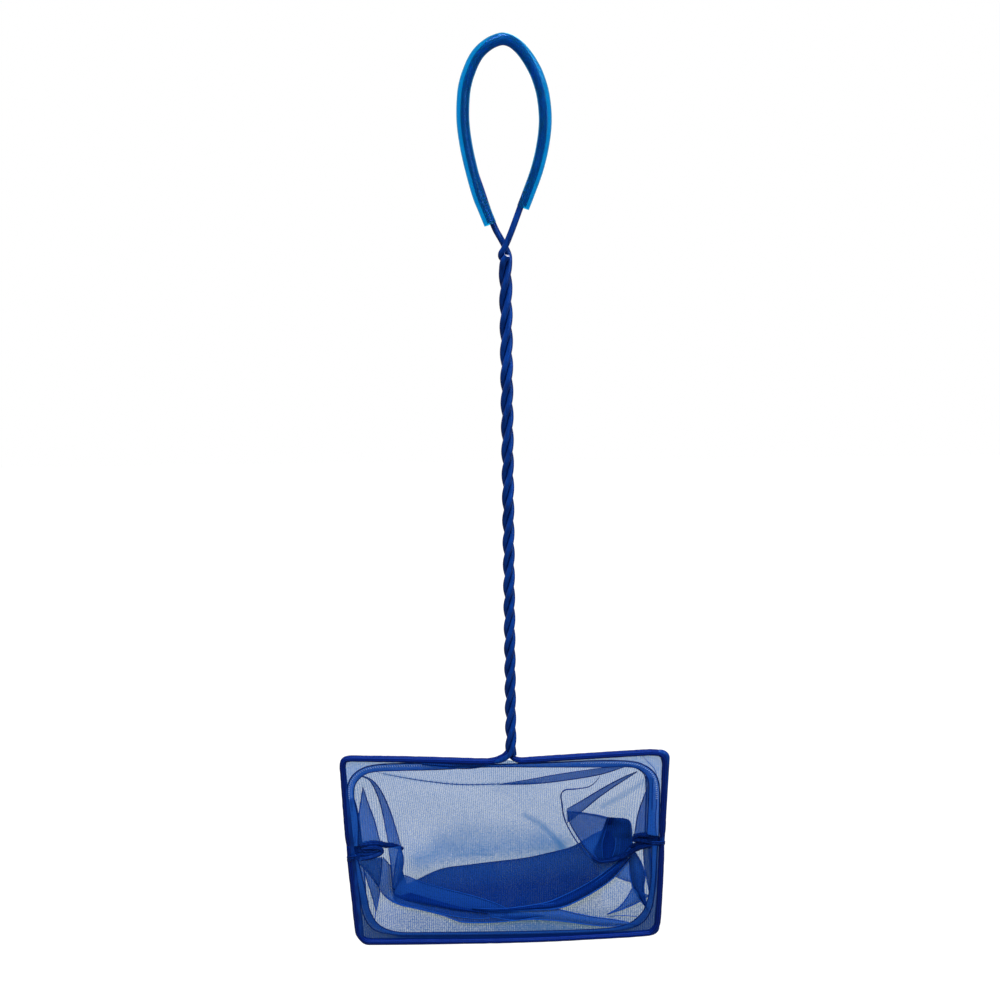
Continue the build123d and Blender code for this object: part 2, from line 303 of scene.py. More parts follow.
def coating_material(name, dark, light):
    """Smooth plastic dip coating with drawn-out streaks and small scuffs."""
    material, tree = new_material(name)
    place_in = object_places(tree)
    stretch = add(tree, "ShaderNodeMapping", Scale=(1, 1, 0.15))
    tree.links.new(place_in, stretch.inputs["Vector"])
    streaks = noise(tree, stretch.outputs[0], 1500)
    cloud = noise(tree, place_in, 90)
    both = mean(tree, streaks, cloud)
    shader = add(tree, "ShaderNodeBsdfPrincipled", Roughness=0.28)
    tree.links.new(ramp(tree, both, 0.35, 0.65, dark, light), shader.inputs["Base Color"])
    shader.inputs["Specular IOR Level"].default_value = 0.5
    shader.inputs["Specular Tint"].default_value = (0.18, 0.42, 1.0, 1)
    scuffs = noise(tree, place_in, 2600, 5)
    tree.links.new(bump(tree, scuffs, 0.25, 0.00006), shader.inputs["Normal"])
    finish_material(tree, shader.outputs[0])
    return material


def knit_height(tree, pitch_across, pitch_down):
    """Height of a fine knit: ribs down the cloth with smaller loops across them."""
    rib_height = 0.32
    loop_height = 0.08
    weave = point_value(tree, "weave")
    parts = tree.nodes.new("ShaderNodeSeparateXYZ")
    tree.links.new(weave.outputs["Vector"], parts.inputs[0])
    across = math_node(tree, "MULTIPLY", parts.outputs[0], 2 * pi / pitch_across)
    down = math_node(tree, "MULTIPLY", parts.outputs[1], 2 * pi / pitch_down)
    ribs = math_node(tree, "SINE", across, 0)
    loops = math_node(tree, "SINE", down, 0)
    both = math_node(
        tree, "ADD", math_node(tree, "MULTIPLY", ribs, rib_height),
        math_node(tree, "MULTIPLY", loops, loop_height))
    return math_node(tree, "ADD", both, 0.5)


def mesh_material(name, cover_share, rib_swing, thread, shaded_thread, tint):
    """Knitted mesh of clear blue filament, with open gaps between its ribs."""
    rib_pitch = 0.8 * mm
    loop_pitch = 0.62 * mm
    shining_through = 0.4
    opaque_share = 0.68
    speckle_size = 0.6
    drift_size = 0.12
    material, tree = new_material(name)
    height = knit_height(tree, rib_pitch, loop_pitch)
    place_in = object_places(tree)
    cloud = noise(tree, place_in, 45)
    grain = noise(tree, place_in, 1900, 2)
    lit = tree.nodes.new("ShaderNodeBsdfDiffuse")
    # Painted shade: the thread goes from its lit colour to the shaded colour as the points' painted shade
    # grows
    painted_shade = point_value(tree, "painted_shade")
    colour = ramp(tree, painted_shade.outputs["Fac"], 0.0, 1.0, thread, shaded_thread)
    tree.links.new(colour, lit.inputs["Color"])
    tree.links.new(bump(tree, height, 0.4, 0.0001), lit.inputs["Normal"])
    behind = tree.nodes.new("ShaderNodeBsdfTranslucent")
    tree.links.new(colour, behind.inputs["Color"])
    solid = add(tree, "ShaderNodeMixShader", Fac=shining_through)
    tree.links.new(lit.outputs[0], solid.inputs[1])
    tree.links.new(behind.outputs[0], solid.inputs[2])
    stained = tree.nodes.new("ShaderNodeBsdfTransparent")
    stained.inputs["Color"].default_value = (*tint, 1)
    threads = add(tree, "ShaderNodeMixShader", Fac=opaque_share)
    tree.links.new(stained.outputs[0], threads.inputs[1])
    tree.links.new(solid.outputs[0], threads.inputs[2])
    gaps = tree.nodes.new("ShaderNodeBsdfTransparent")
    # The mesh is denser where points carry more density, which in places stands for painted shade
    density_and_painted_shade = point_value(tree, "density_and_painted_shade")
    swing = around_zero(tree, height, rib_swing)
    speckle = around_zero(tree, grain, speckle_size)
    drift = around_zero(tree, cloud, drift_size)
    texture = math_node(tree, "ADD", math_node(tree, "ADD", swing, speckle), drift)
    cover = math_node(tree, "ADD", math_node(tree, "ADD", texture, density_and_painted_shade.outputs["Fac"]), cover_share)
    cover = math_node(tree, "MINIMUM", math_node(tree, "MAXIMUM", cover, 0.0), 1.0)
    mixed = tree.nodes.new("ShaderNodeMixShader")
    tree.links.new(cover, mixed.inputs[0])
    tree.links.new(gaps.outputs[0], mixed.inputs[1])
    tree.links.new(threads.outputs[0], mixed.inputs[2])
    finish_material(tree, mixed.outputs[0])
    return material


def cord_material(name, dark, light, pitch, sheen=(0.25, 0.45, 1.0)):
    """Dense wrapped thread: dull, with short slanting stitches."""
    material, tree = new_material(name)
    height = knit_height(tree, pitch, pitch)
    place_in = object_places(tree)
    fuzz = noise(tree, place_in, 1800, 4)
    both = mean(tree, height, fuzz)
    shader = add(tree, "ShaderNodeBsdfPrincipled", Roughness=0.45)
    tree.links.new(ramp(tree, both, 0.3, 0.7, dark, light), shader.inputs["Base Color"])
    shader.inputs["Specular IOR Level"].default_value = 0.3
    shader.inputs["Specular Tint"].default_value = (*sheen, 1)
    tree.links.new(bump(tree, both, 0.8, 0.0002), shader.inputs["Normal"])
    finish_material(tree, shader.outputs[0])
    return material


def tube_material(name):
    """Clear blue soft plastic that bends the light round the darker wire."""
    material, tree = new_material(name)
    place_in = object_places(tree)
    cloud = noise(tree, place_in, 220)
    shader = add(tree, "ShaderNodeBsdfPrincipled", Roughness=0.1, IOR=1.3)
    colour = ramp(tree, cloud, 0.3, 0.7, (0.012, 0.43, 0.73), (0.02, 0.50, 0.80))
    tree.links.new(colour, shader.inputs["Base Color"])
    shader.inputs["Transmission Weight"].default_value = 0.95
    shader.inputs["Specular Tint"].default_value = (0.2, 0.42, 0.95, 1)
    tree.links.new(bump(tree, noise(tree, place_in, 300), 0.1, 0.0001), shader.inputs["Normal"])
    finish_material(tree, shader.outputs[0])
    return material


def steel_material(name):
    """Drawn steel wire with fine lengthwise lines."""
    material, tree = new_material(name)
    place_in = object_places(tree)
    lines = noise(tree, place_in, 3000, 5)
    shader = add(tree, "ShaderNodeBsdfPrincipled", Metallic=1.0, Roughness=0.35)
    colour = ramp(tree, lines, 0.3, 0.7, (0.35, 0.36, 0.38), (0.62, 0.63, 0.65))
    tree.links.new(colour, shader.inputs["Base Color"])
    tree.links.new(bump(tree, lines, 0.3, 0.00005), shader.inputs["Normal"])
    finish_material(tree, shader.outputs[0])
    return material


# Colours are linear. The mesh has one for lit thread, one for thread in painted shade in folds and low
# places, and a tint for light that shines through.
coating = coating_material("coating", (0.0005, 0.012, 0.10), (0.002, 0.040, 0.27))
shaded_coating = coating_material("coating_in_grip", (0.0002, 0.003, 0.10), (0.001, 0.010, 0.26))
steel = steel_material("steel")
grip = tube_material("grip")
thread = (0.034, 0.218, 0.87)
shaded_thread = (0.004, 0.044, 0.34)
tint = (0.12, 0.27, 0.23)
cover = 0.74
mesh_cloth = mesh_material("mesh", cover, 0.30, thread, shaded_thread, tint)
band_cloth = mesh_material("band_mesh", cover, 0.22, thread, shaded_thread, tint)
fold_edge = cord_material(
    "fold_edge", (0.002, 0.030, 0.24), (0.006, 0.07, 0.40), 0.5 * mm, (0.1, 0.3, 0.9))
hem_cloth = cord_material(
    "hem_mesh", (0.0005, 0.004, 0.055), (0.002, 0.018, 0.20), 0.8 * mm, (0.1, 0.25, 0.9))
seam_cloth = cord_material(
    "seam", (0.0006, 0.005, 0.05), (0.001, 0.020, 0.17), 0.9 * mm, (0.08, 0.28, 0.9))
stitch_cloth = cord_material("stitch", (0.18, 0.32, 0.62), (0.34, 0.48, 0.78), 0.3 * mm)

# The wire and its coating stay as they are packed, and only get their materials
for name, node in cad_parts.items():
    if name.startswith("coating") or name == "steel_wire":
        node.data.materials.clear()
        node.data.materials.append(steel if name == "steel_wire" else coating)

# Bag: the edges of both panels, as pixels of the photograph with depths in millimetres
left_corner = (353, 852, 0.8)
right_corner = (657, 842, 0.8)
upper_mouth_marks = [
    left_corner, (353, 820, 0.8), (352, 795, 0.8), (355, 780, 0.8), (365, 771, 0.8),
    (385, 768, 0.8), (430, 767, 0.8), (480, 764.8, 0.8), (540, 764.2, 0.8), (600, 763.3, 0.8),
    (628, 764.2, 0.8), (643.5, 768.5, 0.8), (651.5, 780, 0.8), (653.5, 800, 0.8), right_corner,
]
lower_mouth_marks = [
    left_corner, (359, 885, 0.8), (364, 910, 0.8), (374, 926, 0.8), (396, 936, 0.8),
    (430, 937, 0.8), (480, 937, 0.8), (540, 936, 0.8), (600, 933, 0.8), (630, 928, 0.8),
    (645, 918, 0.8), (652, 902, 0.8), (656, 880, 0.8), right_corner,
]
end_marks = [
    (394, 889, 24), (419, 899, 29), (452, 907, 31), (485, 912, 32), (523, 909, 32),
    (556, 902, 31), (591, 887, 28), (618, 866, 24), (636, 848, 20),
]
left_side_marks = [
    (353, 855, 2), (366, 853, 7), (382, 850, 12), (397, 848, 17), (401, 862, 20), (400, 878, 22),
    (394, 889, 24),
]
right_side_marks = [(656, 842, 2), (648, 843, 7), (640, 845, 13), (636, 848, 20)]
crest_marks = np.array([
    (394, 889), (402, 887), (410, 884.5), (418, 881), (432, 872.5), (447, 867.5), (485, 863), (532, 857),
    (565, 850), (577, 846), (588, 837), (604, 829), (622, 833), (636, 848),
], dtype=float)

# A panel is a grid: its rows follow each other from the mouth to the end seam, its columns from
# side to side
columns = 300
rows = 150
share_across = np.linspace(0, 1, columns)
share_down = np.linspace(0, 1, rows)[:, None, None]
mouth_shares = (0, 0.22, 0.5, 0.78, 1)
end_shares = (0, 0.15, 0.5, 0.85, 1)


def panel_places(mouth_marks, bulge):
    """A curved sheet between the mouth, both side seams and the end seam."""
    mouth = smooth(on_photo(mouth_marks), columns)
    end = smooth(on_photo(end_marks), columns)
    matched = np.interp(share_across, mouth_shares, end_shares)
    end = np.stack([np.interp(matched, share_across, end[:, k]) for k in range(3)], axis=1)
    left = smooth(on_photo(left_side_marks), rows)[:, None, :]
    right_edge = smooth(on_photo(right_side_marks), rows)[:, None, :]
    left = left + (mouth[0] - left[0]) * (1 - share_down) ** 3
    right_edge = right_edge + (mouth[-1] - right_edge[0]) * (1 - share_down) ** 3
    across = share_across[None, :, None]
    ruled = mouth[None] * (1 - share_down) + end[None] * share_down
    left_chord = mouth[0] * (1 - share_down) + end[0] * share_down
    right_chord = mouth[-1] * (1 - share_down) + end[-1] * share_down
    near_left = np.clip(1 - 2 * across, 0, 1) ** 2
    near_right = np.clip(2 * across - 1, 0, 1) ** 2
    places = ruled + (left - left_chord) * near_left + (right_edge - right_chord) * near_right
    return places + bulge * mm * 4 * share_down * (1 - share_down)


def eased_inward(run_in):
    """Nothing at both sides of a panel, and one from a run-in share inwards."""
    inward = np.clip((1 - np.abs(2 * share_across - 1)) / run_in, 0, 1)
    return inward**2 * (3 - 2 * inward)


def crest_lift(reach):
    """How far each column of the lower panel rises, so that its fold shows along the crest."""
    first_rise = 29
    highest_rise = 60
    rounds = 30
    step_per_px = 0.3
    margin = 7
    rise = first_rise * eased_inward(0.5)
    window = np.ones(2 * margin + 1) / (2 * margin + 1)
    for _ in range(rounds):
        bulge = np.stack([0 * rise, reach, rise], axis=1)
        pixels = seen_at(panel_places(lower_mouth_marks, bulge))
        high = pixels[..., 1].argmin(axis=0)
        top = pixels[high, np.arange(columns)]
        wanted = np.interp(top[:, 0], crest_marks[:, 0], crest_marks[:, 1])
        rise = np.clip(rise + step_per_px * (top[:, 1] - wanted), 0, highest_rise)
        rise = np.convolve(np.pad(rise, margin, mode="edge"), window, mode="valid")
    return np.stack([0 * rise, reach, rise], axis=1)


def ripples(places, size, seed):
    """Small soft undulations, so that no panel is perfectly even."""
    draw = np.random.default_rng(seed)
    waves = np.zeros(places.shape[:2])
    for _ in range(6):
        heading = draw.normal(size=3)
        waves += np.sin(places @ heading * draw.uniform(60, 140) + draw.uniform(0, 2 * pi))
    fade = np.sin(pi * share_down[..., 0]) * np.sin(pi * share_across[None])
    moved = places.copy()
    moved[..., 1] += size * mm * waves / 3 * fade
    return moved


# How far back each panel bulges, in millimetres
upper_bulge = 12
lower_bulge = 9.5
back_bulge = np.stack([0 * share_across, upper_bulge * eased_inward(0.7), 0 * share_across], axis=1)
crest_bulge = crest_lift(lower_bulge * eased_inward(0.7))
upper = ripples(panel_places(upper_mouth_marks, back_bulge), 0.5, 3)
lower = ripples(panel_places(lower_mouth_marks, crest_bulge), 0.4, 5)
panels = {"upper": upper, "lower": lower}
panel_pixels = {name: seen_at(places) for name, places in panels.items()}


def depth_at(panel, pixel):
    """How far back the front layer of a panel, or of both, is where a pixel shows it."""
    reach_px = 2
    same_spot_px = 1.2
    names = ["upper", "lower"] if panel == "both" else [panel]
    depths = []
    for name in names:
        gaps = np.linalg.norm(panel_pixels[name] - np.array(pixel), axis=-1)
        if gaps.min() < reach_px or name == names[0]:
            depths.append(panels[name][..., 1][gaps < gaps.min() + same_spot_px].min() / mm)
    return min(depths)


def on_panel(panel, marks, count, in_front):
    """The pixels and the depths of a smooth line, drawn a little in front of a panel."""
    margin = 2
    window = np.ones(2 * margin + 1) / (2 * margin + 1)
    pixels = smooth(marks, count)
    depths = np.array([depth_at(panel, pixel) for pixel in pixels])
    depths = np.convolve(np.pad(depths, margin, mode="edge"), window, mode="valid")
    return pixels, depths - in_front


def soft_fold_shade(panel, marks, width, strength):
    """Painted shade along a soft fold without an edge: extra crowding of the mesh near a line."""
    line = smooth(marks, 30)
    gaps = np.linalg.norm(panel_pixels[panel][..., None, :] - line, axis=-1).min(axis=-1)
    return strength * np.exp(-(gaps / width) ** 2)


def add_fold(pile, panel, first_edge, second_edge, stand, layers, rims, painted_shade=0.0):
    """A pleat that lies on a panel: more layers between two folded edges.

    It stands a few millimetres in front of the panel, and each edge has a rim of a radius near
    the given one, or none.
    """
    count = 40
    layer_gap = 0.8
    rim_in_front = 0.4
    rim_scale = 1.2
    thinner = 0.07
    # Folds with more painted shade also get denser mesh; the lightest are thinner
    density_and_painted_shade = 0.25 * min(painted_shade, 0.5) - thinner
    share = np.linspace(0, 1, 9)
    first_px, first_depth = on_panel(panel, first_edge, count, stand)
    second_px, second_depth = on_panel(panel, second_edge, count, stand)
    for layer in range(layers):
        places = np.zeros((count, len(share), 3))
        for row in range(count):
            for column, part in enumerate(share):
                pixel = first_px[row] * (1 - part) + second_px[row] * part
                depth = first_depth[row] * (1 - part) + second_depth[row] * part
                places[row, column] = place(pixel, depth - layer_gap * layer * sin(pi * part))
        pile.grid(places, density_and_painted_shade=density_and_painted_shade, painted_shade=painted_shade)
    for pixels, depths, rim in ((first_px, first_depth, rims[0]), (second_px, second_depth, rims[1])):
        if rim:
            path = np.array([place(pixel, depth - rim_in_front) for pixel, depth in zip(pixels, depths)])
            taper = np.sin(pi * np.linspace(0.06, 0.94, count)) ** 0.4
            pile.tube(path, rim_scale * rim * mm * taper, sides=6, slot=1)


def add_crease(pile, panel, marks, radius, stand=0.3):
    """A single sharp crease: a narrow roll of mesh that fades at both ends."""
    count = 60
    pixels, depths = on_panel(panel, marks, count, stand)
    path = np.array([place(pixel, depth) for pixel, depth in zip(pixels, depths)])
    taper = np.sin(pi * np.linspace(0.03, 0.97, count)) ** 0.5
    pile.tube(path, radius * mm * taper, sides=6, slot=1)


# Painted shade: the panels' thread is a little darker all over, and darker still in the crest and the low
# middle
plain_shade = 0.36
upper_pile = Pile()
# Painted shade along soft folds of the upper panel
upper_fold_shade = (
    soft_fold_shade("upper", [(525, 815), (536, 821), (545, 828), (555, 838), (563, 848)], 3.0, 0.15)
    + soft_fold_shade("upper", [(652, 775), (640, 784), (625, 794), (603, 806)], 2.6, 0.12)
    + soft_fold_shade("upper", [(420, 860), (440, 852), (470, 850), (520, 848), (560, 846)], 11, 0.16)
    + soft_fold_shade("upper", [(440, 838), (480, 832), (540, 836)], 10, 0.08)
    + soft_fold_shade("upper", [(452, 857), (470, 854), (492, 855)], 1.6, 0.07)
    + soft_fold_shade(
        "upper", [(385, 774), (400, 777), (425, 781), (460, 784.5), (500, 784), (535, 782.5)], 1.5, 0.25)
)
upper_pile.grid(upper, density_and_painted_shade=upper_fold_shade, painted_shade=plain_shade)
lower_pile = Pile()
# Painted shade on the crest, growing to the right and downwards, and a painted shadow in the low middle of
# the front
shown_x, shown_y = np.moveaxis(panel_pixels["lower"], -1, 0)
in_crest = np.clip((np.abs(shown_x - 500) - 106) / -8, 0, 1) * np.clip((911 - shown_y) / 6, 0, 1)
shade_towards_right = 0.3 * np.clip((shown_x - 400) / 200, 0, 1)
shade_towards_bottom = 0.15 * np.clip((shown_y - 860) / 40, 0, 1)
crest_shade = in_crest * (0.42 + shade_towards_right + shade_towards_bottom)
front_painted_shadow = np.clip((shown_y - 905) / 20, 0, 1) * np.exp(-((shown_x - 540) / 90) ** 2)
lower_pile.grid(
    lower, density_and_painted_shade=0.16 * front_painted_shadow, painted_shade=np.maximum(plain_shade, crest_shade) + 0.4 * front_painted_shadow)

# The crest is double cloth, its lining darkening it and carrying the crest's painted shade, with a thin roll
# along its fold where the photograph shows it
lining_gap = np.array([0, 0.4 * mm, 0])
crest_from_px = 403
crest_to_px = 606
lower_pile.grid(lower[rows // 2:] + lining_gap, painted_shade=crest_shade[rows // 2:])
crest_line = lower[panel_pixels["lower"][..., 1].argmin(axis=0), np.arange(columns)]
crest_px = seen_at(crest_line)[:, 0]
shown = (crest_px > crest_from_px) & (crest_px < crest_to_px)
lower_pile.tube(crest_line[shown][::6], 0.16 * mm, sides=6, slot=1)

# Pleats on the upper panel: two folded edges in pixels, stand, layers, rims and painted shade
upper_folds = [
    ([(500, 784), (523, 780.5), (560, 774), (598, 768.5), (628, 764.5)],
     [(500, 784.5), (530, 784), (560, 781), (600, 774.5), (630, 765)], 0.5, 2, (0.14, 0.2)),
    ([(361, 776), (370, 781), (377, 794), (382, 810), (386, 830), (389, 846)],
     [(361, 775.5), (372, 780), (381, 791), (389, 808), (395, 826), (401, 846)], 0.5, 2, (0.2, 0.2)),
    ([(363, 787), (361, 800), (359, 815), (358, 830), (358, 844)],
     [(363, 787), (368, 803), (374, 819), (378, 834), (381, 845)], 0.5, 2, (0.2, 0.2)),
    ([(349.5, 800), (350, 820), (352, 844)],
     [(354, 797), (357, 812), (359.5, 826), (362, 844)], 0.8, 2, (0, 0.2), 0.4),
    ([(355, 800), (358.5, 816), (356, 830), (354, 844)],
     [(355, 800), (359, 816), (361, 830), (363, 844)], 1.1, 1, (0.14, 0), 0.5),
    ([(637, 771.5), (625, 776.5), (612, 783), (597, 791.5), (582, 800.5), (567, 809)],
     [(637, 772), (626, 779), (612, 788), (598, 798), (586, 808), (567, 823)], 0.6, 2, (0.2, 0.2)),
    ([(567, 810.5), (569.5, 822), (578, 837), (588, 850), (598, 860)],
     [(572, 811), (607, 817), (606, 830), (603, 845), (600, 858)], 0.9, 2, (0.22, 0)),
    ([(572, 811.5), (585, 813), (598, 815.5), (608, 817.5)],
     [(573, 813.5), (585, 815), (598, 817.5), (608, 819.5)], 1.4, 1, (0.18, 0)),
    ([(607.5, 817), (603.5, 828), (598, 842), (593.5, 853), (600, 861)],
     [(622, 818), (630, 822), (631.5, 838), (629.5, 849), (612, 860)], 1.3, 3, (0.28, 0.28), 0.8),
    ([(607.5, 817), (604, 828), (599, 842), (595, 853), (601, 861)],
     [(621, 818.5), (629, 823), (630.5, 838), (628.5, 848), (612, 859)], 2.0, 2, (0, 0), 0.85),
    ([(609, 818), (605.5, 831), (602, 845), (603, 859)],
     [(616.5, 819), (616, 832), (615.5, 846), (612, 858)], 2.6, 2, (0.16, 0.2), 1.0),
    ([(619, 819), (619.5, 832), (620, 846), (618, 856)],
     [(627, 822), (628, 832), (628, 845), (624, 853)], 2.6, 1, (0.14, 0), 0.9),
    ([(648, 786), (643, 799), (638, 814), (634, 836)],
     [(648, 786), (647, 800), (646.5, 816), (646, 836)], 0.6, 2, (0.2, 0)),
    ([(645.5, 776), (646, 795), (645.5, 812), (645, 836)],
     [(653, 778), (652.5, 795), (652, 812), (651.5, 836)], 0.9, 2, (0.2, 0.2), 0.3),
    ([(652.5, 784), (652, 802), (651.5, 820), (651, 836)],
     [(656.5, 790), (656.5, 804), (655.5, 820), (656.5, 836)], 0.7, 1, (0, 0.16)),
    ([(422, 762.5), (445, 763.3), (470, 764.3), (490, 764)],
     [(422, 765), (445, 767.7), (470, 768.5), (490, 765.5)], 1.4, 2, (0, 0.18), 0.9),
    ([(606, 768), (620, 765.5), (632, 766.5), (643, 773), (646, 782)],
     [(606, 765), (622, 762.5), (638, 764.5), (650, 771), (654.5, 782)], 0.6, 1, (0.16, 0)),
]
for fold in upper_folds:
    add_fold(upper_pile, "both", *fold)
add_crease(upper_pile, "upper", [
    (378, 772.5), (400, 777), (425, 781), (460, 784.5), (500, 784), (540, 782.5),
], 0.2)
add_crease(upper_pile, "both", [
    (600, 776), (595, 782.5), (588, 787), (575, 789), (565, 790), (561, 795), (562, 804), (563.5, 815),
    (567.5, 826), (577, 842), (589, 856), (604, 870),
], 0.3, 1.2)
add_crease(upper_pile, "upper", [(641, 754), (648, 762), (655, 770), (658, 782)], 0.16)

# Pleats on the lower panel: the seam allowance under the end seam, its ribbons and the side flaps; the last
# value, where given, is painted shade
lower_folds = [
    ([(398, 873), (410, 877), (420, 881.5), (440, 887.5), (470, 895), (495, 903), (515, 911.5), (545, 915)],
     [(393, 901), (405, 906), (430, 912), (445, 916), (462, 922), (488, 922.5), (515, 920.5), (545, 916.5)],
     0.7, 2, (0.16, 0.2), 0.3),
    ([(490, 914), (503, 911.5), (516, 909), (530, 908.5), (556, 909), (566, 911), (577, 913.5), (595, 917),
      (615, 919.5), (637, 924)],
     [(490, 916), (503, 919), (516, 920.3), (535, 919.5), (560, 921), (580, 923.5), (600, 926), (615, 926),
      (637, 924.5)],
     0.7, 2, (0.16, 0.2)),
    ([(392, 884), (398, 887), (420, 894), (445, 903), (475, 909), (500, 914)],
     [(394, 902), (404, 905), (425, 909.5), (448, 915), (475, 918.5), (500, 917)], 0.9, 1, (0, 0.12), 0.3),
    ([(393, 887), (405, 891), (420, 895.5), (435, 900), (455, 905.5), (488, 913)],
     [(395, 898), (405, 900), (420, 903), (436, 906.5), (455, 910), (488, 913.6)], 1.7, 2, (0, 0), 1.0),
    ([(472, 908), (490, 909), (508, 908.3), (530, 905.5), (548, 902), (565, 895), (583, 886), (600, 875.5),
      (611, 867), (624, 857)],
     [(472, 908.4), (490, 910.5), (508, 911), (530, 910), (552, 909), (566, 906), (583, 898), (600, 888),
      (615, 876.5), (631, 858)],
     1.4, 3, (0.2, 0.28), 1.0),
    ([(540, 905), (556, 902.5), (572, 896), (590, 886), (604, 876), (618, 865)],
     [(540, 909), (558, 907), (573, 901), (590, 892), (604, 883), (620, 869)], 2.2, 1, (0.14, 0), 1.0),
    ([(355, 860), (364, 868), (372, 877.5), (379, 888)],
     [(382, 857), (381.5, 868), (380.5, 878), (379, 888)], 0.8, 3, (0.2, 0.2), 0.25),
    ([(363, 866), (367, 880), (371.5, 894), (376, 911)],
     [(366, 868), (373, 878.5), (379.5, 889), (376.5, 911)], 0.5, 2, (0.2, 0.2)),
    ([(382, 860), (381, 870), (380, 880), (379.5, 888), (386, 896), (394, 902.5)],
     [(383, 857), (388, 863), (391, 868), (392, 880), (393.5, 890), (397, 903)], 0.6, 2, (0.14, 0.2)),
    ([(354, 860), (356, 875), (359, 890), (361, 905)],
     [(363, 865), (365, 878), (366, 892), (366.5, 905)], 0.5, 2, (0, 0.16)),
    ([(629, 853), (629.5, 868), (632, 885), (638, 897), (648, 910)],
     [(634, 850), (641, 862), (645, 875), (644, 890), (648, 911)], 0.6, 3, (0.22, 0.22), 0.5),
    ([(643, 846), (644, 862), (646.5, 878), (649.5, 894)],
     [(650, 846), (651, 862), (652, 880), (652, 896)], 0.9, 2, (0.16, 0.2), 0.4),
    ([(648, 846), (649, 862), (650, 880), (651, 898)],
     [(657, 846), (657, 865), (656, 885), (653, 902)], 0.5, 2, (0, 0.16)),
    ([(615, 876.5), (619, 878), (624, 880), (631, 882)],
     [(630, 856), (630, 862), (630.5, 870), (631, 881)], 0.4, 2, (0.2, 0)),
    ([(607, 914.2), (618, 908), (626, 899), (632, 888)],
     [(607, 914.6), (622, 909.5), (638, 902.5), (650, 895.5)], 0.5, 2, (0.2, 0.2)),
]
for fold in lower_folds:
    add_fold(lower_pile, "lower", *fold)

# Cloth gathered under the side seams, the gathered folds darkened with painted shade
add_fold(upper_pile, "upper", [(349, 840), (349, 852), (351, 862)], [(381, 844), (382, 850), (380, 856)],
         0.2, 3, (0, 0), 0.7)
add_fold(upper_pile, "upper", [(349, 838), (349, 852), (351, 864)], [(362, 843), (363, 850), (362, 859)],
         0.4, 2, (0, 0), 1.0)
add_fold(upper_pile, "upper", [(633, 834), (634, 841), (640, 848)], [(658, 835), (658, 841), (658, 848)],
         0.4, 4, (0, 0), 0.9)
add_crease(lower_pile, "lower", [(376, 907), (375.3, 914), (374.5, 923)], 0.2)
add_crease(lower_pile, "lower", [(604, 917), (620, 915.5), (635, 916.5), (648, 918)], 0.16)
add_crease(lower_pile, "lower", [(379, 888), (381, 892), (389, 899.5), (400, 905), (412, 908)], 0.22, 1.6)

# The standing end of the left side seam, in front of the crest
add_fold(lower_pile, "lower", [(388.5, 848), (390.5, 862), (392, 875), (392.5, 888)],
         [(400, 846), (403, 857), (402, 871), (395, 889)], 3.0, 2, (0.2, 0.28))
add_fold(lower_pile, "lower", [(398.5, 849), (396, 862), (394.5, 874), (393, 888)],
         [(400, 846), (403, 857), (402, 871), (396, 889)], 3.6, 2, (0.2, 0))

upper_piece = upper_pile.build("bag_upper", [mesh_cloth, fold_edge])
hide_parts("bag_upper_panel")
lower_piece = lower_pile.build("bag_lower", [mesh_cloth, fold_edge])
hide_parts("bag_lower_panel")


def lumpy(count, radius, size, seed):
    """Radii along a fabric tube that swell and shrink a little."""
    draw = np.random.default_rng(seed)
    spots = draw.normal(size=max(4, count // 3))
    wave = np.interp(np.linspace(0, 1, count), np.linspace(0, 1, len(spots)), spots)
    return radius + size * wave


# Seams: wrapped thread along the closed end and round both side bars
end_pile = Pile()
end_count = 160
end_path = smooth(on_photo(end_marks), end_count)
end_pile.tube(end_path, lumpy(end_count, 0.45 * mm, 0.06 * mm, 11))
end_piece = end_pile.build("end_ridge", [fold_edge])
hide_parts("end_seam")


def cord(pile, marks, radius, seed):
    """A lumpy cord of gathered mesh through marks with depths."""
    count = 120
    taper = np.sin(pi * np.linspace(0.08, 0.92, count)) ** 0.3
    radii = lumpy(count, radius * mm, 0.1 * mm, seed) * taper
    pile.tube(smooth(on_photo(marks), count), radii)


# Each side seam: narrow turns round the bar, then wider cords that run in to the end seam
left_pile = Pile()
for sag, seed in ((0, 13), (1.8, 23), (3.4, 24)):
    cord(left_pile, [
        (358, 856 + sag, -1.3), (352, 856.5 + sag, -1.8), (348.9, 857 + sag, -0.9),
        (348.1, 857.3 + sag, 0.2), (349.4, 857.6 + sag, 1.2), (356, 857.5 + sag, 2.2),
    ], 0.42, seed)
cord(left_pile, [
    (347, 858.5, 1.4), (358, 859, 2), (366, 858, 3), (374, 856, 4.2), (380, 853.5, 5.4), (381.6, 851, 6),
    (379.5, 848.5, 5.6), (372, 847.5, 4.6), (360, 848.5, 3),
], 1.0, 25)
cord(left_pile, [
    (347, 845.5, 1.4), (356, 845, 2.4), (364, 844, 4), (372, 843.4, 6), (380, 843.8, 8), (386, 845.2, 11),
    (393, 845.6, 13.5), (402, 848.5, 17),
], 1.15, 14)
cord(left_pile, [(347, 851, 1.4), (356, 850.5, 2.4), (365, 851, 3.6), (376, 852, 5)], 0.7, 15)
cord(left_pile, [(347, 855, 1.4), (357, 854.5, 2.2), (367, 854.5, 3.4), (377, 853.5, 5)], 0.6, 16)
cord(left_pile, [
    (399.5, 847, 18), (402.3, 856, 19), (402, 868, 20.5), (399, 879, 22), (394.5, 889, 23.5),
], 0.45, 18)
left_piece = left_pile.build("left_ridge", [seam_cloth])
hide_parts("side_seam_left")

